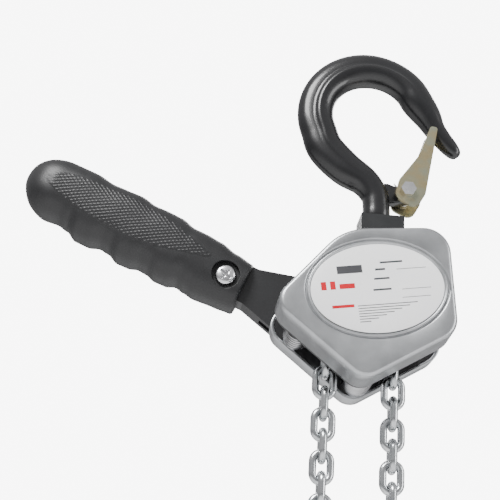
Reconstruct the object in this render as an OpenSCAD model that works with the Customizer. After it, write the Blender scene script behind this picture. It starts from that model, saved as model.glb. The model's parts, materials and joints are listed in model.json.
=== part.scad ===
// Mini lever chain hoist: a lever and a ratchet turn a pocketed chain wheel through a small gear train.
// Millimetres. +Z up, front = -Y. The origin is the load point inside the top hook.

/* [Chain] */
// diameter of the chain's wire
wire_d = 3.2; // [3:0.1:4]
// outside width of one link
link_w = 10.6; // [10:0.1:12]
// inside length of one link
link_in = 9; // [8:0.5:10]
// links on the load side, counted from the chain wheel
load_links = 24; // [10:2:40]
// links on the free side, counted from the chain wheel
tail_links = 10; // [10:2:180]
// how far the chain wheel is turned at rest
wheel_phase = 4.4; // [0:0.1:8]

/* [Body] */
// tilt of the body on its suspension pin
hang_tilt = 9.5; // [0:0.5:20]
// outside thickness of the two side plates and the gap
frame_depth = 22; // [20:1:26]
// thickness of one side plate
plate_t = 3; // [2:0.5:4]
// depth of the pressed gear cover
gear_cover_d = 16; // [14:1:20]
// depth of the brake cover behind the rear plate's front face
brake_cover_d = 12; // [10:1:16]
// sheet thickness of both covers
sheet_t = 1.5; // [1:0.1:2]
// half axes of the rating label
label_a = 28; // [20:1:30]
label_b = 19.4; // [15:0.1:22]

/* [Hooks] */
// height of the top hook's load point above the chain wheel
seat_z = 114; // [100:1:130]
// sideways place of the load point
seat_x = 1.8; // [0:0.1:4]
// mid-line radius of the hook's bowl
bowl_r = 24.8; // [20:0.1:30]
// width of the hook's bar at the crown
bar_w = 16.8; // [14:0.1:20]
// thickness of the hook's bar
bar_t = 14; // [10:0.5:18]

/* [Lever] */
// angle of the lever above the horizontal
lever_up = 22; // [0:1:60]
// distance from the shaft to the end of the grip
lever_len = 165.5; // [140:0.5:200]
// where the grip starts
grip_start = 53; // [45:1:70]

/* [Gears] */
// gear module
gear_m = 1; // [0.8:0.1:1.5]
// teeth of the pinions
pinion_z = 14; // [12:1:18]
// teeth of the large gears
wheel_z = 22; // [20:2:30]
// direction of the two idler arbors from the shaft, in the body
idler_dir = 10; // [0:1:30]

/* [Hidden] */
$fn = 48;
gap = frame_depth / 2 - plate_t;
plate_out = frame_depth / 2;
wr = wire_d / 2;
end_r = link_w / 2 - wr;
bar_half = (link_in + wire_d) / 2 - end_r;
a_half = link_in / 2 - wr - 0.05;
b_half = link_in / 2 + wr;
pitch = a_half + b_half;
vertex_r = 14.66;
a_r = sqrt(pow(vertex_r, 2) - pow(a_half, 2));
b_r = sqrt(pow(vertex_r, 2) - pow(b_half, 2));
a_span = asin(a_half / vertex_r);
b_span = asin(b_half / vertex_r);
right_end = 18 - a_span - wheel_phase;
left_end = 162 + a_span - wheel_phase;
pin_b = [14.3, 25];
shank_x = 6;
cover_front = -plate_out - gear_cover_d;
cover_back = gap + brake_cover_d;
centre_d = gear_m * (pinion_z + wheel_z) / 2;
outline_pts = [[38.4, 29], [34.7, -17.6], [-7.7, -35.1], [-41.4, 2], [-6.8, 31.8]];
outline_rad = [11, 10, 8, 8, 25];
stays = [[-4.4, -26], [27, -13.5], [29, 18]];
lever_y = cover_back + 2;
black = [0.06, 0.06, 0.065];
silver = [0.72, 0.73, 0.74];
zinc = [0.8, 0.81, 0.82];
yellow_zinc = [0.72, 0.66, 0.45];

// ---------- helpers ----------
function unit(v) = v / norm(v);
function arc_at(a, b, c, r, n) =
    let (u = unit(a - b), v = unit(c - b), half = acos(u * v) / 2, mid = b + unit(u + v) * r / sin(half))
    let (p = b + u * r / tan(half) - mid, q = b + v * r / tan(half) - mid)
    let (s = atan2(p.y, p.x), sweep = (atan2(q.y, q.x) - s + 540) % 360 - 180)
    [for (i = [0:n]) mid + r * [cos(s + sweep * i / n), sin(s + sweep * i / n)]];
function rounded(p, r, n = 8) =
    [for (i = [0:len(p) - 1]) each arc_at(p[(i + len(p) - 1) % len(p)], p[i], p[(i + 1) % len(p)], r[i], n)];

// from the chain wheel's axes to the part's frame
module from_wheel() { translate([-seat_x, 0, -seat_z]) children(); }
module in_body() { from_wheel() rotate([0, -hang_tilt, 0]) children(); }
module in_lever() { from_wheel() rotate([0, lever_up, 0]) children(); }
// a flat shape drawn in x, z and given thickness from y0 to y1
module slab(y0, y1) { translate([0, y1, 0]) rotate([90, 0, 0]) linear_extrude(y1 - y0) children(); }
// a round bar along y
module bar(r, y0, y1) { translate([0, y1, 0]) rotate([90, 0, 0]) cylinder(r = r, h = y1 - y0); }
module hex(af, y0, y1) { translate([0, y1, 0]) rotate([90, 0, 0]) cylinder(r = af / sqrt(3), h = y1 - y0, $fn = 6); }
module at(p) { translate([p[0], 0, p[1]]) children(); }
module body_outline(inset = 0) {
    scale((36 - inset) / 36) polygon(rounded(outline_pts, outline_rad));
}
module gear(z, y0, y1, turn, bore) {
    r = gear_m * z / 2;
    p = 360 / z;
    slab(y0, y1) difference() {
        polygon([for (i = [0:z - 1], q = [[-0.29, -1.2], [-0.21, 0], [-0.1, 0.9], [0.1, 0.9], [0.21, 0], [0.29, -1.2]])
            (r + q[1] * gear_m) * [cos(turn + (i + q[0]) * p), sin(turn + (i + q[0]) * p)]]);
        circle(r = bore);
    }
}

// ---------- chain ----------
// one link in the x, z plane, its length along z
module link() {
    for (s = [-1, 1]) {
        translate([s * end_r, 0, -bar_half]) cylinder(r = wr, h = 2 * bar_half, $fn = 24);
        translate([0, 0, s * bar_half]) rotate([90, 0, 0]) rotate([0, 0, s > 0 ? 0 : 180])
            rotate_extrude(angle = 180, $fn = 32) translate([end_r, 0]) circle(r = wr, $fn = 24);
    }
}
// a hanging run of n links, the first one edge-on
module strand(n, x, z) {
    for (i = [0:n - 1])
        translate([x, 0, z - b_half - i * pitch]) rotate([0, 0, i % 2 == 0 ? 90 : 0]) link();
}
module chain_on_wheel() color(zinc) from_wheel() rotate([0, wheel_phase, 0]) {
    for (a = [18, 90, 162]) rotate([0, -a, 0]) translate([a_r, 0, 0]) link();
    for (a = [54, 126]) rotate([0, -a, 0]) translate([b_r, 0, 0]) rotate([0, 0, 90]) link();
}
module load_chain() color(zinc) from_wheel()
    strand(load_links, vertex_r * cos(right_end), vertex_r * sin(right_end));
module tail_chain() color(zinc) from_wheel()
    strand(tail_links, vertex_r * cos(left_end), vertex_r * sin(left_end));
tail_x = vertex_r * cos(left_end);
tail_z = vertex_r * sin(left_end) - b_half - (tail_links - 1) * pitch;
module chain_end_ring() color(zinc) from_wheel()
    translate([tail_x, 0, tail_z - a_half - 0.05 - 9]) rotate([0, 0, 90]) rotate([90, 0, 0])
        rotate_extrude() translate([9, 0]) circle(r = 1.5, $fn = 24);

// ---------- hooks ----------
// mid-line of the hook seen from the front: [x, z, width, thickness], about the bowl's centre
tip_line = [[38.8, -13.2, 7, 7], [35, -8.8, 8.5, 8.5], [30.5, -3, 10, 10], [27.4, 3.2, 12.6, 12]];
bowl_line = [for (a = [24:15:204]) [bowl_r * cos(a), bowl_r * sin(a), bar_w - 2 * cos(a) * (a < 90 ? 1 : 0), bar_t]];
neck_line = [[-19.4, -18.2, bar_w, bar_t], [-10.5, -27, 16, 13], [-1.5, -32.6, 13.4, 12.5],
             [3.4, -39, 12.2, 12], [4.2, -45.2, 12, 12]];
hook_line = concat(tip_line, bowl_line, neck_line);
bowl_c = [1.8, 97.9];
module hook_station(s) {
    translate([s[0], 0, s[1]]) {
        bar(s[2] / 2, -s[3] * 0.25, s[3] * 0.25, $fn = 24);
        bar(s[2] * 0.32, -s[3] / 2, s[3] / 2, $fn = 24);
    }
}
module hook_bar() {
    for (i = [0:len(hook_line) - 2]) hull() {
        hook_station(hook_line[i]);
        hook_station(hook_line[i + 1]);
    }
    hull() {
        translate([14.5, 0, -40.4]) bar(3.6, -2.6, 2.6, $fn = 24);
        translate([3, 0, -38]) bar(4, -3.6, 3.6, $fn = 24);
    }
}
latch_p = [17.2, -38.5];
latch_y = 6.2;
module hook_with_shank() {
    difference() {
        hook_bar();
        at(latch_p) bar(1.75, -5, 5, $fn = 24);
    }
    translate([4.2, 0, -51.2]) cylinder(r = 6, h = 7);
    translate([4.2, 0, -64.9]) cylinder(r = 4.4, h = 14);
}
module latch_shape() {
    for (s = [-1, 1]) difference() {
        slab(s * latch_y - 0.7, s * latch_y + 0.7) polygon(rounded([[latch_p.x - 6, latch_p.y - 4], [latch_p.x + 4, latch_p.y - 8.5],
            [latch_p.x + 8, latch_p.y - 1], [30.7, -5.5], [27.4, -5.2], [22.5, -20], [latch_p.x - 4, latch_p.y + 5]],
            [4, 4, 3, 1.2, 1.2, 12, 3], 4));
        at(latch_p) bar(1.75, -9, 9, $fn = 24);
    }
    translate([24, 0, -22]) rotate([0, 15, 0]) cube([1.4, 2 * latch_y, 18], center = true);
}
module latch_bolt() at(latch_p) {
    bar(1.7, -9.6, 7, $fn = 24);
    bar(3, 6.95, 9);
}
module latch_nut() at(latch_p) difference() {
    hex(6, -9.4, -6.95);
    bar(1.7, -10, 8, $fn = 24);
}
module latch_spring() at(latch_p) {
    difference() {
        bar(2.9, 3.2, 5.3);
        bar(1.8, 2, 6);
    }
    translate([0, 4.4, 0]) rotate([0, -34, 0]) translate([0, 0, 5.6]) cube([0.9, 0.9, 6.5], center = true);
}
module collar() difference() {
    translate([4.2, 0, -64.9]) cylinder(r = 6.2, h = 3.5);
    translate([4.2, 0, -66]) cylinder(r = 4.4, h = 6);
}
module on_top_hook() { from_wheel() at(bowl_c) children(); }
module top_hook() color(black) on_top_hook() hook_with_shank();
module top_latch() color(yellow_zinc) on_top_hook() latch_shape();
module top_latch_bolt() color(zinc) on_top_hook() latch_bolt();
module top_latch_nut() color(zinc) on_top_hook() latch_nut();
module top_latch_spring() color(zinc) on_top_hook() latch_spring();
module hook_collar() color(zinc) on_top_hook() collar();

// ---------- top yoke and frame ----------
pin_g = [pin_b.x * cos(hang_tilt) - pin_b.y * sin(hang_tilt), pin_b.x * sin(hang_tilt) + pin_b.y * cos(hang_tilt)];
module top_yoke() color([0.15, 0.16, 0.17]) from_wheel() difference() {
    union() {
        translate([-1.5, -7.2, 31]) cube([19, 14.4, 15.5]);
        slab(-7.2, 7.2) polygon([[pin_g.x - 5, 28], [17.5, 28], [17.5, 32], [pin_g.x - 5, 32]]);
        at(pin_g) bar(5.5, -7.2, 7.2);
    }
    translate([shank_x, 0, 28]) cylinder(r = 4.45, h = 30);
    translate([shank_x, 0, 32.6]) cylinder(r = 6.5, h = 4.3);
    at(pin_g) bar(3.05, -9, 9);
}
module suspension_pin() color(zinc) in_body() at(pin_b) {
    bar(3, -plate_out, plate_out);
    bar(3.6, -plate_out - 1.4, -plate_out);
}
module plate_holes() {
    for (s = stays) translate(s) circle(r = 2.6);
    translate(pin_b) circle(r = 3);
    circle(r = 9.5);
}
module gear_side_plate() color(black) in_body() slab(-plate_out, -gap) difference() {
    body_outline(0.6);
    plate_holes();
    for (s = [0, 180]) rotate(idler_dir + s) translate([centre_d, 0]) circle(r = 2.55);
}
pawl_at = [for (a = [20, 200]) 23 * [cos(a), sin(a)]];
module brake_side_plate() color(black) in_body() slab(gap, plate_out) difference() {
    body_outline(sheet_t + 0.3);
    plate_holes();
    for (p = pawl_at) translate(p) circle(r = 2);
}
module cup(front, back, inset) {
    difference() {
        slab(front, back) body_outline();
        slab(front + (inset > 0 ? sheet_t : -1), back - (inset > 0 ? -1 : sheet_t)) body_outline(sheet_t);
    }
}
module gear_cover() color(silver) in_body() difference() {
    union() {
        cup(cover_front + 0.9, -plate_out, 1);
        slab(cover_front, cover_front + 1) body_outline(2);
    }
    translate([3.5, cover_front - 0.1, 3.6]) slab(0, 0.9) scale([1, 1]) oval(label_a + 0.3, label_b + 0.3);
}
module oval(a, b) polygon([for (t = [0:5:355]) [a * cos(t), b * sin(t)]]);
module rating_label() color([0.95, 0.95, 0.95]) in_body()
    translate([3.5, cover_front, 3.6]) slab(0.35, 0.8) oval(label_a, label_b);
module brake_cover() color(silver) in_body() difference() {
    cup(gap, cover_back, 0);
    bar(8, cover_back - 3, cover_back + 1);
}
module stay_bolts() color(zinc) in_body() for (s = stays) at(s) {
    bar(2.6, -plate_out - 3.5, plate_out);
    bar(4.6, plate_out, plate_out + 2);
}
module stay_nuts() color(zinc) in_body() for (s = stays) at(s) difference() {
    hex(8, -plate_out - 3, -plate_out);
    bar(2.6, -20, 0);
}
module stay_sleeve() color(zinc) in_body() at(stays[0]) difference() {
    bar(6.5, -gap, gap);
    bar(2.6, -gap - 1, gap + 1);
}
module stay_tubes() color(zinc) in_body() for (s = [stays[1], stays[2]]) at(s) difference() {
    bar(4, -gap, gap);
    bar(2.6, -gap - 1, gap + 1);
}
module guide_roller() color(zinc) in_body() at([-27.3, -4.1]) {
    bar(5.2, -gap, gap);
    for (y = [-6:2.4:6]) bar(6, y - 0.7, y + 0.7);
}
module plate_bushings() color([0.7, 0.55, 0.3]) in_body() for (s = [-1, 1]) difference() {
    slab(s * (gap + plate_t / 2) - plate_t / 2, s * (gap + plate_t / 2) + plate_t / 2) circle(r = 9.5);
    bar(8.05, -30, 30);
}
module chain_stripper() color(black) in_body() difference() {
    slab(-1.1, 1.1) polygon([[-6, -27], [-2, -27], [-1, -20.6], [-3.2, -11.2], [-5.2, -11.2], [-5, -20.6]]);
    at(stays[0]) bar(6.5, -3, 3);
}

// ---------- chain wheel and gear train ----------
module load_sheave() color([0.35, 0.35, 0.36]) from_wheel() rotate([0, wheel_phase, 0]) difference() {
    union() {
        slab(-5.6, 5.6) polygon([for (k = [0:4]) 11.6 / cos(36) * [cos(18 + 72 * k), sin(18 + 72 * k)]]);
        for (s = [-1, 1]) slab(s * 6.7 - 1.1, s * 6.7 + 1.1) circle(r = 17.5);
        for (k = [0:4]) rotate([0, -18 - 72 * k, 0]) translate([8, -5.7, -1]) cube([8.2, 11.4, 2]);
        bar(8, -plate_out, plate_out);
        bar(6, -plate_out - 4.4, 0);
    }
    difference() {
        bar(20, -2.1, 2.1);
        bar(8.9, -3, 3);
    }
    bar(4.45, -30, 30);
}
module load_gear() color(silver) in_body()
    gear(wheel_z, -plate_out - 4.4, -plate_out - 0.4, idler_dir + 180 / wheel_z, 6);
module drive_shaft() color(silver) in_body() {
    bar(4.4, -20.4, 31);
    bar(3.5, 30, 53);
    bar(2.5, -24, -20);
    gear(pinion_z, -20.4, -16.4, idler_dir, 1);
}
module idler(turn) rotate([0, -turn, 0]) translate([centre_d, 0, 0]) rotate([0, turn, 0]) {
    gear(wheel_z, -20.4, -16.4, turn + 180 + 180 / wheel_z, 1);
    gear(pinion_z, -16.4, -plate_out - 0.4, turn + 180, 1);
    bar(2.5, -23.8, -gap - 0.2);
}
module idler_gear_a() color(silver) in_body() idler(idler_dir);
module idler_gear_b() color(silver) in_body() idler(idler_dir + 180);

// ---------- load brake ----------
module ring(ro, ri, y0, y1) slab(y0, y1) difference() {
    circle(r = ro);
    circle(r = ri);
}
module disc_hub() color(silver) in_body() {
    ring(15, 4.4, plate_out + 0.2, 12.6);
    ring(6, 4.4, 12.6, 16.8);
}
module friction_disc_front() color([0.45, 0.3, 0.2]) in_body() ring(14.5, 6.3, 12.65, 13.65);
module friction_disc_rear() color([0.45, 0.3, 0.2]) in_body() ring(14.5, 6.3, 15.75, 16.75);
module ratchet_disc() color(silver) in_body() slab(13.7, 15.7) difference() {
    polygon([for (i = [0:15], q = [[0, 17], [2, 14.8]]) q[1] * [cos(22.5 * i + q[0]), sin(22.5 * i + q[0])]]);
    circle(r = 6.1);
}
module pawl(a) in_body() at(23 * [cos(a), sin(a)]) slab(12, 16.4) difference() {
    rotate(a) union() {
        circle(r = 3.4);
        polygon([[-2, -3], [3, -1], [0.5, 8], [-6, 8.6], [-3.4, 3]]);
    }
    circle(r = 2.05);
}
module pawl_a() color(silver) pawl(20);
module pawl_b() color(silver) pawl(200);
module pawl_pins() color(zinc) in_body() for (p = pawl_at) at(p) bar(2, gap, 17);
module change_gear() color(silver) in_body() {
    ring(14.5, 4.4, 16.8, 18.2);
    ring(7, 4.4, 18.2, 24);
    difference() {
        gear(12, 24, 30, 0, 4.4);
        bar(4.4, 20, 32);
    }
}

// ---------- lever: drawn with the lever pointing to -x ----------
selector_u = 27;
arm_half = 9.1;
arm_t = 10;
module lever_outline(k = 0) {
    circle(r = 24 - k);
    polygon([[0, 23 - k], [-50, arm_half - k], [-140 + k, arm_half - k], [-140 + k, k - arm_half], [-50, k - arm_half], [0, k - 23]]);
}
module shell(front, y0, y1) {
    difference() {
        slab(y0, y1) lever_outline();
        slab(y0 + (front ? sheet_t : -1), y1 - (front ? -1 : sheet_t)) lever_outline(sheet_t);
        bar(front ? 7.1 : 4.6, y0 - 1, y1 + 1);
        at([-62, -2]) bar(2.5, y0 - 1, y1 + 1);
        at([-selector_u, 0]) bar(3.05, y0 - 1, y1 + 1);
        for (p = rivet_at) at(p) bar(1.8, y0 - 1, y1 + 1);
        translate([-40, lever_y + 3, -20]) cube([13, arm_t - 6, 12]);
    }
}
rivet_at = [[0, 18.5], [0, -18.5]];
module lever_front_shell() color(black) in_lever() shell(true, lever_y, lever_y + arm_t / 2);
module lever_rear_shell() color(black) in_lever() shell(false, lever_y + arm_t / 2, lever_y + arm_t);
module lever_rivets() color(zinc) in_lever() for (p = rivet_at) at(p) {
    bar(1.8, lever_y, lever_y + arm_t);
    bar(3, lever_y + arm_t, lever_y + arm_t + 1);
}
module selector_lever() color(black) in_lever() at([-selector_u, 0]) {
    bar(3, lever_y + 0.1, lever_y + arm_t + 2);
    slab(lever_y + 2.4, lever_y + arm_t - 2.4) union() {
        circle(r = 5);
        for (s = [-1, 1]) polygon([[0, s * 4.8], [4.8, 0], [11, s * 5.2], [11.4, s * 6.4], [8, s * 7]]);
    }
    slab(lever_y + arm_t + 1, lever_y + arm_t + 4) union() {
        circle(r = 6);
        polygon(rounded([[-6, 0], [-4, 26], [4, 26], [6, 0]], [1, 3.5, 3.5, 1]));
    }
}
grip_mid = lever_y + arm_t / 2;
module grip_outline(k) {
    polygon(rounded([[-53, 10.8 - k], [-80, 15 - k], [-120, 18.3 - k], [-156, 18.8 - k], [k - 165.8, 8], [k - 165.8, -4],
        [k - 158, k - 10.4], [-139, k - 10.4], [-132, k - 14.6], [-117, k - 12.2], [-109, k - 15.8], [-98, k - 13.2],
        [-88, k - 15.8], [-80, k - 13.4], [-70, k - 15.4], [-53, k - 13.8]],
        [1, 30, 40, 7, 6, 5, 5, 5, 5, 5, 5, 5, 5, 5, 6, 1], 5));
}
module grip() color(black) in_lever() difference() {
    union() {
        slab(grip_mid - 13, grip_mid + 13) grip_outline(5);
        slab(grip_mid - 11, grip_mid + 11) grip_outline(2.2);
        slab(grip_mid - 8, grip_mid + 8) grip_outline(0);
    }
    translate([-140.1, lever_y - 0.1, -arm_half - 0.1]) cube([90, arm_t + 0.2, 2 * arm_half + 0.2]);
    at([-62, -2]) {
        bar(6.5, grip_mid - 14, grip_mid - 9);
        bar(6.5, grip_mid + 9, grip_mid + 14);
        bar(2.5, grip_mid - 14, grip_mid + 14);
    }
}
module grip_screw() color(zinc) in_lever() at([-62, -2]) difference() {
    union() {
        bar(4.75, grip_mid - 11.4, grip_mid - 9);
        bar(2.5, grip_mid - 9, grip_mid + 12);
    }
    translate([-0.5, grip_mid - 11.5, -2.6]) cube([1, 1.2, 5.2]);
    translate([-2.6, grip_mid - 11.5, -0.5]) cube([5.2, 1.2, 1]);
}
module grip_nut() color(zinc) in_lever() at([-62, -2]) difference() {
    hex(8, grip_mid + 9, grip_mid + 12);
    bar(2.5, 0, 60);
}
module free_wheel_knob() color(black) in_lever() difference() {
    bar(15, lever_y + arm_t + 1.5, 45);
    bar(3.55, 0, 60);
    for (a = [0:45:315]) at(18.5 * [cos(a), sin(a)]) bar(6, lever_y + arm_t + 4, 46);
}
module shaft_nut() color(zinc) in_lever() difference() {
    hex(11, 49.2, 52.6);
    bar(3.5, 40, 60);
}

// ---------- load hook on the chain's end ----------
load_x = vertex_r * cos(right_end);
last_z = vertex_r * sin(right_end) - b_half - (load_links - 1) * pitch;
end_pin_z = last_z - link_in / 2 + 1.85;
yoke_top = end_pin_z + 3.7;
yoke_h = 28;
low_c = [load_x + 4.2, yoke_top - yoke_h - 0.4 - 51.2];
yoke_screws = [for (s = [-1, 1], z = [-10.5, -23]) [s * 8.3, z]];
module on_bottom_hook() { from_wheel() at(low_c) rotate([0, 180, 0]) children(); }
module bottom_half(s) from_wheel() translate([load_x, 0, yoke_top]) difference() {
    slab(s > 0 ? 0.02 : -8, s > 0 ? 8 : -0.02)
        polygon(rounded([[-11, 0], [11, 0], [11, -yoke_h], [-11, -yoke_h]], [8, 8, 3, 3]));
    translate([-5.8, -2.1, -10.2]) cube([11.6, 4.2, 12]);
    translate([0, 0, -yoke_h - 1]) cylinder(r = 4.45, h = 17.5);
    translate([0, 0, -yoke_h - 0.4 + 9.9]) cylinder(r = 6.4, h = 4.5);
    at([0, end_pin_z - yoke_top]) bar(1.8, -7, 7);
    for (p = yoke_screws) at(p) bar(1.5, -9, 9);
}
module bottom_yoke_front() color(black) bottom_half(-1);
module bottom_yoke_rear() color(black) bottom_half(1);
module bottom_chain_pin() color(zinc) from_wheel() at([load_x, end_pin_z]) bar(1.8, -7, 7);
module bottom_yoke_screws() color(zinc) from_wheel() translate([load_x, 0, yoke_top])
    for (p = yoke_screws) at(p) {
        bar(1.5, -8, 8);
        bar(2.4, -9.4, -8);
    }
module bottom_hook() color(black) on_bottom_hook() {
    hook_with_shank();
    collar();
}
module bottom_latch() color(yellow_zinc) on_bottom_hook() latch_shape();
module bottom_latch_bolt() color(zinc) on_bottom_hook() latch_bolt();
module bottom_latch_nut() color(zinc) on_bottom_hook() latch_nut();
module bottom_latch_spring() color(zinc) on_bottom_hook() latch_spring();

// ---------- what is drawn ----------
top_hook();
top_latch();
top_latch_bolt();
top_latch_nut();
top_latch_spring();
top_yoke();
hook_collar();
suspension_pin();
gear_side_plate();
brake_side_plate();
gear_cover();
rating_label();
brake_cover();
stay_bolts();
stay_sleeve();
stay_tubes();
stay_nuts();
guide_roller();
plate_bushings();
load_sheave();
load_gear();
drive_shaft();
idler_gear_a();
idler_gear_b();
chain_stripper();
disc_hub();
friction_disc_front();
friction_disc_rear();
ratchet_disc();
pawl_a();
pawl_b();
pawl_pins();
change_gear();
lever_front_shell();
lever_rear_shell();
lever_rivets();
selector_lever();
grip();
grip_screw();
grip_nut();
free_wheel_knob();
shaft_nut();
chain_on_wheel();
load_chain();
tail_chain();
chain_end_ring();
bottom_yoke_front();
bottom_yoke_rear();
bottom_chain_pin();
bottom_yoke_screws();
bottom_hook();
bottom_latch();
bottom_latch_bolt();
bottom_latch_nut();
bottom_latch_spring();
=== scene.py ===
"""Mini lever chain hoist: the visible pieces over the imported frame."""
import json
import math

import bmesh
import bpy
from mathutils import Matrix, Vector


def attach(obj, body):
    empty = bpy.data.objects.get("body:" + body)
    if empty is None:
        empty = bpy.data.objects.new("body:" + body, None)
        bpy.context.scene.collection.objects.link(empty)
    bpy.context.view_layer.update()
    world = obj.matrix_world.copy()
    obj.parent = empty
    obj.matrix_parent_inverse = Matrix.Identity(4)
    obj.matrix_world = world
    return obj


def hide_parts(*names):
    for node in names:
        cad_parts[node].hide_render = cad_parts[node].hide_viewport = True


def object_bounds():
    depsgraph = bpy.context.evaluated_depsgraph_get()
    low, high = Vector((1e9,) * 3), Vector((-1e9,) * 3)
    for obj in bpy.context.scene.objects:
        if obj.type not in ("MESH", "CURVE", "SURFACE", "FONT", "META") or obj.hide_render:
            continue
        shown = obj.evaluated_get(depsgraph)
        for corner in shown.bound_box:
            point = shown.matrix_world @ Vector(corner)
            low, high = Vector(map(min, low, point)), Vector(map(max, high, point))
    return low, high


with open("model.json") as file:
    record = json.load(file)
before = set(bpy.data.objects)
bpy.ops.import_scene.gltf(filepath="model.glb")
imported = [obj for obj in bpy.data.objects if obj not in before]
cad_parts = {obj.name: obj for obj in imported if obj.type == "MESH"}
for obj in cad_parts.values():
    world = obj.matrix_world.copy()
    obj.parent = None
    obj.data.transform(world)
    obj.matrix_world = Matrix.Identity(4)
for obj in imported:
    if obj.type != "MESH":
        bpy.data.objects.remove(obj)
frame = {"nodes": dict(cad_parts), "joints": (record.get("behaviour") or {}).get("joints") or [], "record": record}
cad_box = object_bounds()
MM = 0.001
joints = {j["name"]: j for j in frame["joints"]}
WHEEL = Vector(joints["sheave_spin"]["pos_m"])
HANG_TILT = math.radians(9.5)
LEVER_UP = math.radians(22)
BOWL_X, BOWL_Z = 1.8, 97.9  # middle of the top hook's bowl from the chain wheel, mm
LATCH = (17.2, -38.5)  # latch pivot from the middle of the bowl, mm


# ---------- places ----------
def turned(angle):
    """From drawing axes in mm about the chain wheel to the frame, leaned about y."""
    return Matrix.Translation(WHEEL) @ Matrix.Rotation(angle, 4, "Y") @ Matrix.Scale(MM, 4)


BODY = turned(-HANG_TILT)
LEVER = turned(LEVER_UP)
TOP_HOOK = turned(0) @ Matrix.Translation((BOWL_X, 0, BOWL_Z))
LOW_PIVOT = Vector(joints["bottom_latch_swing"]["pos_m"])
LOW_HOOK = (Matrix.Translation(LOW_PIVOT) @ Matrix.Rotation(math.pi, 4, "Y") @ Matrix.Scale(MM, 4)
            @ Matrix.Translation((-LATCH[0], 0, -LATCH[1])))


def piece(name, bm, place, body, mat, smooth=True, instead=()):
    mesh = bpy.data.meshes.new(name)
    bm.transform(place)
    bmesh.ops.recalc_face_normals(bm, faces=bm.faces)
    bm.to_mesh(mesh)
    bm.free()
    obj = bpy.data.objects.new(name, mesh)
    bpy.context.scene.collection.objects.link(obj)
    if smooth:
        for p in mesh.polygons:
            p.use_smooth = True
    mesh.materials.append(mat)
    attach(obj, body)
    if instead:
        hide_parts(*instead)
    return obj


def loft(rings, cap=True):
    """Joins closed rings of equal count into a skin."""
    bm = bmesh.new()
    rows = [[bm.verts.new(p) for p in ring] for ring in rings]
    n = len(rows[0])
    for a, b in zip(rows, rows[1:]):
        for i in range(n):
            bm.faces.new((a[i], a[(i + 1) % n], b[(i + 1) % n], b[i]))
    if cap:
        bm.faces.new(rows[0])
        bm.faces.new(rows[-1])
    return bm


def spline(points, per):
    """A Catmull-Rom curve through the points, per steps in each stretch."""
    out = []
    for i in range(len(points) - 1):
        p = [points[max(0, min(len(points) - 1, i + k))] for k in (-1, 0, 1, 2)]
        for s in range(per):
            t = s / per
            out.append([0.5 * (2 * b + (c - a) * t + (2 * a - 5 * b + 4 * c - d) * t * t
                               + (3 * b - a - 3 * c + d) * t ** 3) for a, b, c, d in zip(*p)])
    out.append(list(points[-1]))
    return out


def step(a, b, x):
    t = max(0.0, min(1.0, (x - a) / (b - a)))
    return t * t * (3 - 2 * t)


# ---------- materials ----------
def material(name, base, metallic=0.0, rough=0.4, tint=None, grain=900.0, bump=0.02, spread=0.12, coat=0.0):
    """A surface whose colour and roughness drift over noise, with a fine bump."""
    mat = bpy.data.materials.new(name)
    mat.use_nodes = True
    nt = mat.node_tree
    bsdf = nt.nodes["Principled BSDF"]
    bsdf.inputs["Metallic"].default_value = metallic
    bsdf.inputs["Coat Weight"].default_value = coat
    coord = nt.nodes.new("ShaderNodeTexCoord")
    large = nt.nodes.new("ShaderNodeTexNoise")
    large.inputs["Scale"].default_value = grain / 12
    large.inputs["Detail"].default_value = 5
    fine = nt.nodes.new("ShaderNodeTexNoise")
    fine.inputs["Scale"].default_value = grain
    fine.inputs["Detail"].default_value = 4
    for node in (large, fine):
        nt.links.new(coord.outputs["Object"], node.inputs["Vector"])
    ramp = nt.nodes.new("ShaderNodeValToRGB")
    ramp.color_ramp.elements[0].position = 0.35
    ramp.color_ramp.elements[1].position = 0.65
    ramp.color_ramp.elements[0].color = (*base, 1)
    ramp.color_ramp.elements[1].color = (*(tint or [c * 1.15 for c in base]), 1)
    nt.links.new(large.outputs["Fac"], ramp.inputs["Fac"])
    nt.links.new(ramp.outputs["Color"], bsdf.inputs["Base Color"])
    span = nt.nodes.new("ShaderNodeMapRange")
    span.inputs["To Min"].default_value = max(0.03, rough - spread)
    span.inputs["To Max"].default_value = rough + spread
    nt.links.new(large.outputs["Fac"], span.inputs["Value"])
    nt.links.new(span.outputs["Result"], bsdf.inputs["Roughness"])
    dent = nt.nodes.new("ShaderNodeBump")
    dent.inputs["Strength"].default_value = bump * 10
    dent.inputs["Distance"].default_value = 0.0001
    nt.links.new(fine.outputs["Fac"], dent.inputs["Height"])
    nt.links.new(dent.outputs["Normal"], bsdf.inputs["Normal"])
    return mat


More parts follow.
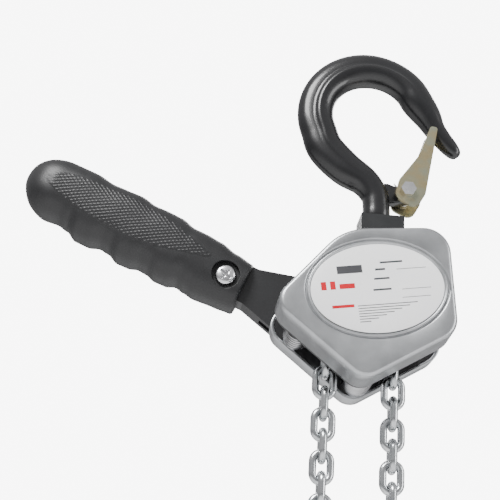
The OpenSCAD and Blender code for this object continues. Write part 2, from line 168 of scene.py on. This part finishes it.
MATS = {
    "hook_black": material("hook_black", (0.006, 0.006, 0.007), 0.0, 0.3, bump=0.02, spread=0.06, coat=0.25),
    "yellow_zinc": material("yellow_zinc", (0.5, 0.42, 0.24), 1.0, 0.33, tint=(0.36, 0.37, 0.27), grain=2500, bump=0.05),
    "yoke_black": material("yoke_black", (0.02, 0.021, 0.022), 0.2, 0.4),
    "black_plate": material("black_plate", (0.01, 0.01, 0.011), 0.0, 0.36, spread=0.05, coat=0.2),
    "pressed_silver": material("pressed_silver", (0.42, 0.43, 0.44), 0.9, 0.34, grain=1600, bump=0.015, spread=0.05),
    "label_white": material("label_white", (0.97, 0.97, 0.97), 0.0, 0.3, tint=(0.95, 0.95, 0.96), bump=0.004, coat=0.4),
    "chain_zinc": material("chain_zinc", (0.66, 0.67, 0.68), 1.0, 0.2, tint=(0.5, 0.52, 0.53), grain=2200, bump=0.03),
    "bronze": material("bronze", (0.5, 0.33, 0.15), 1.0, 0.35),
    "friction": material("friction", (0.2, 0.12, 0.07), 0.0, 0.8, bump=0.08),
    "gear_steel": material("gear_steel", (0.35, 0.35, 0.36), 1.0, 0.32),
    "grip_rubber": material("grip_rubber", (0.011, 0.011, 0.012), 0.0, 0.42, grain=2600, bump=0.04, spread=0.05),
    "knob_black": material("knob_black", (0.014, 0.014, 0.015), 0.0, 0.45, grain=2000, bump=0.04),
    "bright_zinc": material("bright_zinc", (0.68, 0.68, 0.69), 1.0, 0.22, grain=2200, bump=0.02),
    "label_red": material("label_red", (0.5, 0.0, 0.01), 0.0, 0.35, bump=0.004, coat=0.4),
    "label_grey": material("label_grey", (0.05, 0.05, 0.055), 0.0, 0.35, bump=0.004, coat=0.4),
}


def dress_nodes():
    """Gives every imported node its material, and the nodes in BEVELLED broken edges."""
    slots = {s["node"]: s["material_slot"] for s in frame["record"]["subparts"]}
    for name, obj in frame["nodes"].items():
        obj.data.materials.clear()
        obj.data.materials.append(MATS[slots[name]])
        if name not in BEVELLED:
            continue
        bevel = obj.modifiers.new("edges", "BEVEL")
        bevel.width = 0.0004
        bevel.segments = 2
        bevel.limit_method = "ANGLE"
        bevel.angle_limit = math.radians(40)
        bevel.harden_normals = False


BEVELLED = {"top_yoke", "gear_side_plate", "brake_side_plate", "lever_front_shell", "lever_rear_shell",
            "selector_lever", "free_wheel_knob", "shaft_nut", "bottom_yoke_front", "bottom_yoke_rear"}


# ---------- hooks ----------
BOWL_R, BAR_W, BAR_T = 24.8, 16.4, 13.9


def hook_line():
    """Mid-line stations: x, z, width across the bar, thickness along y."""
    tip = [(41.2, -16.4, 1.0, 1.0), (40.9, -16.0, 4.0, 4.0), (39.8, -14.5, 6.2, 6.4), (37.6, -11.9, 7.6, 7.8),
           (34.6, -8.4, 8.3, 8.8), (30.8, -3.2, 9.6, 10), (27.4, 3.2, 12.4, 12)]
    bowl = []
    for a in range(24, 205, 15):
        c = math.cos(math.radians(a))
        bowl.append((BOWL_R * c, BOWL_R * math.sin(math.radians(a)), BAR_W - 2 * max(0, c), BAR_T))
    neck = [(-19.4, -18.2, BAR_W + 0.4, BAR_T), (-10.5, -27, 16, 13.2), (-1.5, -32.8, 13.4, 12.4), (3.2, -39, 12.1, 12),
            (4.2, -45, 12, 12), (4.2, -51, 12, 12), (4.2, -51.2, 8.8, 8.8), (4.2, -64, 8.8, 8.8)]
    return tip + bowl + neck


def hook(name, place, body, node):
    line = spline(hook_line(), 6)
    total = len(line)
    rings = []
    count = 56
    for i, (x, z, w, t) in enumerate(line):
        a, b = line[max(0, i - 1)], line[min(total - 1, i + 1)]
        along = Vector((b[0] - a[0], b[1] - a[1])).normalized()
        out = Vector((along.y, -along.x))
        share = i / total
        web = step(0.22, 0.4, share) * (1 - step(0.62, 0.84, share))
        ring = []
        for k in range(count):
            f = 2 * math.pi * k / count
            c, s = math.cos(f), math.sin(f)
            r = (abs(c) ** 2.3 + abs(s) ** 2.3) ** (-1 / 2.3)
            across = r * c
            deep = r * s * (1 - 0.27 * web * step(-0.12, 0.12, across) - 0.1 * web * step(0.6, 1.0, across))
            px = x + out.x * across * w / 2
            pz = z + out.y * across * w / 2
            ring.append((px, deep * t / 2, pz))
        rings.append(ring)
    obj = piece(name, loft(rings), place, body, MATS["hook_black"], instead=(node,))
    lug = bmesh.new()
    outline = [(3, -34), (9, -33.8), (15, -35.8), (18.6, -35.2), (20.3, -37.2), (20.4, -39.8), (18.4, -41.8),
               (14, -42.6), (8, -43.8), (3, -44)]
    front = [lug.verts.new((x, -2.7, z)) for x, z in outline]
    rear = [lug.verts.new((x, 2.7, z)) for x, z in outline]
    lug.faces.new(front)
    lug.faces.new(rear[::-1])
    for i in range(len(outline)):
        j = (i + 1) % len(outline)
        lug.faces.new((front[i], front[j], rear[j], rear[i]))
    ear = piece(name + "_lug", lug, place, body, MATS["hook_black"])
    soften(ear, 0.0008)
    return obj


def soften(obj, width, segments=3):
    bevel = obj.modifiers.new("edges", "BEVEL")
    bevel.width = width
    bevel.segments = segments
    bevel.limit_method = "ANGLE"
    bevel.angle_limit = math.radians(35)


# ---------- covers ----------
CORNERS = [((38.4, 29), 11), ((34.7, -17.6), 10), ((-7.7, -35.1), 8), ((-41.4, 2), 8), ((-6.8, 31.8), 25)]
LABEL_C = (3.5, 3.6)


def outline():
    pts = []
    n = len(CORNERS)
    for i in range(n):
        a, b, c = (Vector(CORNERS[(i + k) % n][0]) for k in (-1, 0, 1))
        r = CORNERS[i][1]
        u, v = (a - b).normalized(), (c - b).normalized()
        half = math.acos(u.dot(v)) / 2
        mid = b + (u + v).normalized() * r / math.sin(half)
        p, q = b + u * r / math.tan(half) - mid, b + v * r / math.tan(half) - mid
        s = math.atan2(p.y, p.x)
        sweep = (math.atan2(q.y, q.x) - s + 3 * math.pi) % (2 * math.pi) - math.pi
        pts += [mid + Vector((math.cos(s + sweep * k / 16), math.sin(s + sweep * k / 16))) * r for k in range(17)]
    return pts


OUTLINE = outline()
RAYS = 240


def reach(angle, inset):
    """How far the outline, drawn in by inset, lies from the label's middle."""
    d = Vector((math.cos(angle), math.sin(angle)))
    c = Vector(LABEL_C)
    k = (36 - inset) / 36
    best = 0
    for i, p in enumerate(OUTLINE):
        a, b = p * k - c, OUTLINE[(i + 1) % len(OUTLINE)] * k - c
        e = b - a
        det = d.x * -e.y + d.y * e.x
        if abs(det) < 1e-9:
            continue
        t = (a.x * -e.y + a.y * e.x) / det
        s = (d.x * a.y - d.y * a.x) / det
        if t > 0 and -1e-6 <= s <= 1 + 1e-6:
            best = max(best, t)
    return best


def loop(y, inset=None, oval=None):
    ring = []
    for i in range(RAYS):
        a = 2 * math.pi * i / RAYS
        if oval:
            r = 1 / math.hypot(math.cos(a) / oval[0], math.sin(a) / oval[1])
        else:
            r = reach(a, inset)
        ring.append((LABEL_C[0] + r * math.cos(a), y, LABEL_C[1] + r * math.sin(a)))
    return ring


def edge_loops(y_rim, y_face, radius, draft):
    """Outer wall from the rim and round the edge onto the face."""
    way = 1 if y_face > y_rim else -1
    rings = [loop(y_rim, 0), loop(y_face - way * radius, draft)]
    for k in range(1, 7):
        a = math.pi / 2 * k / 6
        rings.append(loop(y_face - way * radius * (1 - math.sin(a)), draft + radius * (1 - math.cos(a))))
    return rings


def gear_cover():
    rings = [loop(-11, 1.5), loop(-11, 0.1)] + edge_loops(-11, -26.8, 2.0, 0.3)
    for a, b, y in ((30.7, 22.3, -26.8), (30.3, 21.9, -26.6), (30.0, 21.6, -25.9), (29.6, 21.2, -25.9),
                    (29.35, 20.95, -26.75), (29.1, 20.7, -26.98), (28.75, 20.35, -26.98), (28.45, 20.05, -26.75),
                    (28.2, 19.8, -26.25), (14, 10, -26.25), (1, 0.7, -26.25)):
        rings.append(loop(y, oval=(a, b)))
    return piece("gear_cover_skin", loft(rings), BODY, "frame", MATS["pressed_silver"],
                 instead=("gear_cover",))


def brake_cover():
    rings = [loop(9.5, 1.8), loop(8, 1.6), loop(8, 0.15)] + edge_loops(8.2, 20, 2.4, 0.3)
    rings += [loop(20, 12), loop(20, 24)]
    rings.append(loop(20, oval=(8.5, 8.5)))
    return piece("brake_cover_skin", loft(rings), BODY, "frame", MATS["pressed_silver"],
                 instead=("brake_cover",))


def label():
    rings = [loop(-26.3, oval=(28, 19.4)), loop(-26.6, oval=(28, 19.4)), loop(-26.65, oval=(27.9, 19.3)),
             loop(-26.65, oval=(14, 10)), loop(-26.65, oval=(1, 0.7))]
    piece("label_film", loft(rings), BODY, "frame", MATS["label_white"], instead=("rating_label",))
    marks = [("label_red", [(-20, -6.6, 9.2, 1.3)]), ("label_red", [(-23.4, 1.6, 2.2, 3.6), (-19.6, 1.6, 2.2, 3.6),
             (-15.8, 1.6, 6.4, 2.2)]),
             ("label_grey", [(9, 3.6 + 4.9, 12.5, 0.22), (10, 1.0 - 1.4, 12.2, 0.22), (9.6, -4.0, 12, 0.22),
                             (0, 8.6, 4.2, 0.9), (-1, 4.6, 6.5, 0.8), (-2, -0.2, 7.6, 0.8), (2.4, 11.6, 9.5, 0.8),
                             (-16, 8.2, 10.6, 3.4)])]
    marks.append(("label_grey", [(-9.4, -6.4 - 1.15 * i, 25 - 3.4 * i, 0.34) for i in range(7)]))
    for n, (mat, boxes) in enumerate(marks):
        bm = bmesh.new()
        for x, z, w, h in boxes:
            x, z = x + LABEL_C[0], z + LABEL_C[1] - 1
            vs = [bm.verts.new(p) for p in ((x, -26.68, z), (x + w, -26.68, z), (x + w, -26.68, z + h), (x, -26.68, z + h))]
            bm.faces.new(vs)
            back = [bm.verts.new((v.co.x, -26.62, v.co.z)) for v in vs]
            bm.faces.new(back[::-1])
            for i in range(4):
                bm.faces.new((vs[i], vs[(i + 1) % 4], back[(i + 1) % 4], back[i]))
        piece(f"label_marks_{n}", bm, BODY, "frame", MATS[mat], smooth=False)


# ---------- grip ----------
GRIP_TOP = [(53, 10.4), (62, 11.8), (71, 13.8), (78, 14.3), (84, 14.3), (92, 16.2), (99, 16.4), (105, 16.2),
            (113, 17.6), (121, 17.2), (127, 17), (136, 18.3), (147, 18.2), (156, 17.6), (165.5, 17.6)]
GRIP_LOW = [(53, -13.6), (62, -14.3), (72, -15), (77, -14.2), (81, -13.4), (86, -15.1), (91, -15.3), (96, -13.9),
            (100, -13.6), (105, -15), (110, -15.2), (116, -12.9), (120, -12.4), (126, -14.2), (132, -14.2),
            (138, -11.5), (143, -10.6), (150, -11.3), (158, -10.6), (165.5, -9.6)]
GRIP_Y, GRIP_DEEP, GRIP_END = 27, 12.9, 165.5
SCREW = (-62, -2)


def level(curve, u):
    for (a, p), (b, q) in zip(curve, curve[1:]):
        if a <= u <= b:
            return p + (q - p) * step(a, b, u)
    return curve[-1][1]


def diamonds(u, v):
    """Height of the pattern on the grip's face, in mm."""
    mid = 3 + (u - 114) * 0.02
    half = 9.2 * step(70, 112, u) ** 0.55 if u < 112 else 9.2 * math.sqrt(max(0, 1 - ((u - 112) / 42) ** 2))
    inside = step(-0.02, 0.06, 1 - abs(v - mid) / max(half, 0.01)) if half > 0.5 else 0
    if inside == 0:
        return 0
    p = 1.75
    rise = [abs(((u * 0.62 + s * v) / p) % 1 - 0.5) * 2 for s in (1, -1)]
    return inside * (-0.3 + 0.34 * step(0.05, 0.5, min(1 - rise[0], 1 - rise[1])))


def grip():
    du, count = ((0.36, 380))
    rings = []
    us = [53.0, 53.3]
    while us[-1] < GRIP_END - 16:
        us.append(us[-1] + du)
    us += [GRIP_END - 16 * (1 - math.sin(math.pi / 2 * k / 26)) for k in range(1, 26)] + [GRIP_END - 0.01]
    for u in us:
        top, low = level(GRIP_TOP, u), level(GRIP_LOW, u)
        mid, half = (top + low) / 2, (top - low) / 2
        tail = max(0, (u - GRIP_END + 16) / 16)
        end = math.sqrt(max(1e-4, 1 - tail ** 2.1))
        mouth = 0.96 + 0.04 * step(53, 53.8, u)
        ring = []
        for k in range(count):
            f = 2 * math.pi * k / count
            c, s = math.cos(f), math.sin(f)
            r = (abs(c) ** 2.5 + abs(s) ** 2.5) ** (-1 / 2.5)
            v = mid + half * end * mouth * r * s
            deep = GRIP_DEEP * (0.86 + 0.14 * step(53, 90, u)) * end * mouth * r * c
            if abs(c) > 0.3:
                deep += math.copysign(diamonds(u, v), c)
            ring.append((-u, GRIP_Y - deep, v))
        rings.append(ring)
    obj = piece("grip_sleeve", loft(rings), LEVER, "lever", MATS["grip_rubber"], instead=("grip",))
    for y in (GRIP_Y - 14, GRIP_Y + 8.6):
        cut(obj, SCREW, y, y + 5.4, 6.5)
    return obj


def cut(obj, at, y0, y1, r):
    """Takes a round recess out of a lever piece."""
    bm = bmesh.new()
    bmesh.ops.create_cone(bm, cap_ends=True, segments=64, radius1=r, radius2=r, depth=y1 - y0)
    bm.transform(LEVER @ Matrix.Translation((at[0], (y0 + y1) / 2, at[1])) @ Matrix.Rotation(math.pi / 2, 4, "X"))
    take(obj, bm)


def take(obj, bm):
    """Subtracts a mesh from a piece."""
    mesh = bpy.data.meshes.new("cutter")
    bm.to_mesh(mesh)
    bm.free()
    tool = bpy.data.objects.new("cutter", mesh)
    bpy.context.scene.collection.objects.link(tool)
    mod = obj.modifiers.new("recess", "BOOLEAN")
    mod.object = tool
    mod.operation = "DIFFERENCE"
    bpy.context.view_layer.update()
    dep = bpy.context.evaluated_depsgraph_get()
    new = bpy.data.meshes.new_from_object(obj.evaluated_get(dep))
    obj.modifiers.clear()
    obj.data = new
    bpy.data.objects.remove(tool)


def screw():
    """The grip's pan-head screw with its cross recess."""
    rings = []
    for r, y in ((4.7, -9.0), (4.75, -9.7), (4.6, -10.3), (4.1, -10.85), (3.2, -11.2), (1.8, -11.36), (0.2, -11.4)):
        rings.append([(SCREW[0] + r * math.cos(f), GRIP_Y + y, SCREW[1] + r * math.sin(f))
                      for f in (2 * math.pi * k / 64 for k in range(64))])
    obj = piece("grip_screw_head", loft(rings), LEVER, "lever", MATS["bright_zinc"],
                instead=("grip_screw",))
    for turn in (0.3, 0.3 + math.pi / 2):
        bm = bmesh.new()
        bmesh.ops.create_cube(bm, size=1)
        place = Matrix.Translation((SCREW[0], GRIP_Y - 11.2, SCREW[1])) @ Matrix.Rotation(turn, 4, "Y")
        bm.transform(LEVER @ place @ Matrix.Diagonal((5.6, 2.4, 1.05, 1)))
        take(obj, bm)


# ---------- latch springs ----------
def latch_spring(name, place, body, node):
    pts = []
    for k in range(0, 61):
        a = 2 * math.pi * 3 * k / 60
        pts.append((LATCH[0] + 2.5 * math.cos(a), 3.6 + 1.4 * k / 60, LATCH[1] + 2.5 * math.sin(a)))
    pts = [(LATCH[0] - 4.2, 4.3, LATCH[1] + 8.0), (LATCH[0] - 3.6, 4.3, LATCH[1] + 7.2)] + pts
    rings = []
    for i, p in enumerate(pts):
        a, b = Vector(pts[max(0, i - 1)]), Vector(pts[min(len(pts) - 1, i + 1)])
        t = (b - a).normalized()
        side = t.cross(Vector((0, 1, 0))).normalized()
        up = side.cross(t)
        rings.append([Vector(p) + (side * math.cos(f) + up * math.sin(f)) * 0.36
                      for f in (2 * math.pi * k / 12 for k in range(12))])
    return piece(name, loft(rings), place, body, MATS["bright_zinc"], instead=(node,))


# ---------- stage ----------
# The camera looks up at the hoist from below, a little from one side and slightly rolled.
CAMERA_YAW = math.radians(3.4)
CAMERA_PITCH = math.radians(22.6)
CAMERA_ROLL = math.radians(3.6)
CAMERA_DISTANCE = 520  # mm to the point aimed at
CAMERA_AIM = (-49.46, -7.13, 24.16)  # mm from the chain wheel


def camera():
    data = bpy.data.cameras.new("camera")
    data.lens = 87.2
    data.sensor_width = 36
    data.clip_start = 0.01
    obj = bpy.data.objects.new("camera", data)
    bpy.context.scene.collection.objects.link(obj)
    ahead = Vector((math.sin(CAMERA_YAW) * math.cos(CAMERA_PITCH),
                    math.cos(CAMERA_YAW) * math.cos(CAMERA_PITCH),
                    math.sin(CAMERA_PITCH)))
    side = Vector((math.cos(CAMERA_YAW), -math.sin(CAMERA_YAW), 0))
    upright = side.cross(ahead)
    right = side * math.cos(CAMERA_ROLL) + upright * math.sin(CAMERA_ROLL)
    up = upright * math.cos(CAMERA_ROLL) - side * math.sin(CAMERA_ROLL)
    turn = Matrix((right, up, -ahead)).transposed().to_4x4()
    place = WHEEL + (Vector(CAMERA_AIM) - ahead * CAMERA_DISTANCE) * MM
    obj.matrix_world = Matrix.Translation(place) @ turn
    bpy.context.scene.camera = obj


def area(name, at, towards, size, power):
    data = bpy.data.lights.new(name, "AREA")
    data.shape = "RECTANGLE"
    data.size, data.size_y = size
    data.energy = power
    obj = bpy.data.objects.new(name, data)
    obj.location = at
    obj.rotation_euler = (Vector(towards) - Vector(at)).to_track_quat("-Z", "Y").to_euler()
    bpy.context.scene.collection.objects.link(obj)


def studio():
    world = bpy.data.worlds.new("studio")
    bpy.context.scene.world = world
    world.use_nodes = True
    nt = world.node_tree
    back = nt.nodes["Background"]
    coord = nt.nodes.new("ShaderNodeTexCoord")
    split = nt.nodes.new("ShaderNodeSeparateXYZ")
    ramp = nt.nodes.new("ShaderNodeValToRGB")
    ramp.color_ramp.elements[0].position = 0.28
    ramp.color_ramp.elements[0].color = (0.03, 0.03, 0.032, 1)
    ramp.color_ramp.elements[1].position = 0.72
    ramp.color_ramp.elements[1].color = (0.75, 0.75, 0.76, 1)
    rise = nt.nodes.new("ShaderNodeMapRange")
    rise.inputs["From Min"].default_value = -1
    path = nt.nodes.new("ShaderNodeLightPath")
    mix = nt.nodes.new("ShaderNodeMix")
    mix.data_type = "RGBA"
    nt.links.new(coord.outputs["Generated"], split.inputs["Vector"])
    nt.links.new(split.outputs["Z"], rise.inputs["Value"])
    nt.links.new(rise.outputs["Result"], ramp.inputs["Fac"])
    nt.links.new(path.outputs["Is Camera Ray"], mix.inputs["Factor"])
    nt.links.new(ramp.outputs["Color"], mix.inputs["A"])
    mix.inputs["B"].default_value = (9, 9, 9, 1)
    nt.links.new(mix.outputs["Result"], back.inputs["Color"])
    back.inputs["Strength"].default_value = 0.9
    centre = WHEEL
    area("key", centre + Vector((-0.5, -0.7, 0.8)), centre, (0.5, 0.5), 20)
    area("fill", centre + Vector((0.8, -0.5, 0.1)), centre, (0.3, 0.8), 5)
    area("back", centre + Vector((0.2, 0.8, 0.6)), centre, (0.8, 0.4), 8)
    low = Vector(cad_box[0])
    bm = bmesh.new()
    bmesh.ops.create_grid(bm, x_segments=1, y_segments=1, size=3)
    mesh = bpy.data.meshes.new("floor")
    bm.to_mesh(mesh)
    bm.free()
    floor = bpy.data.objects.new("floor", mesh)
    floor.location.z = low.z - 0.12
    mesh.materials.append(material("floor_pale", (0.85, 0.85, 0.85), 0, 0.7, grain=40, bump=0.0, spread=0.02))
    bpy.context.scene.collection.objects.link(floor)


camera()
studio()
dress_nodes()
hook("top_hook_forging", TOP_HOOK, "top_hook", "top_hook")
hook("bottom_hook_forging", LOW_HOOK, "bottom_hook", "bottom_hook")
gear_cover()
brake_cover()
label()
grip()
screw()
latch_spring("top_latch_coil", TOP_HOOK, "top_hook", "top_latch_spring")
latch_spring("bottom_latch_coil", LOW_HOOK, "bottom_hook", "bottom_latch_spring")
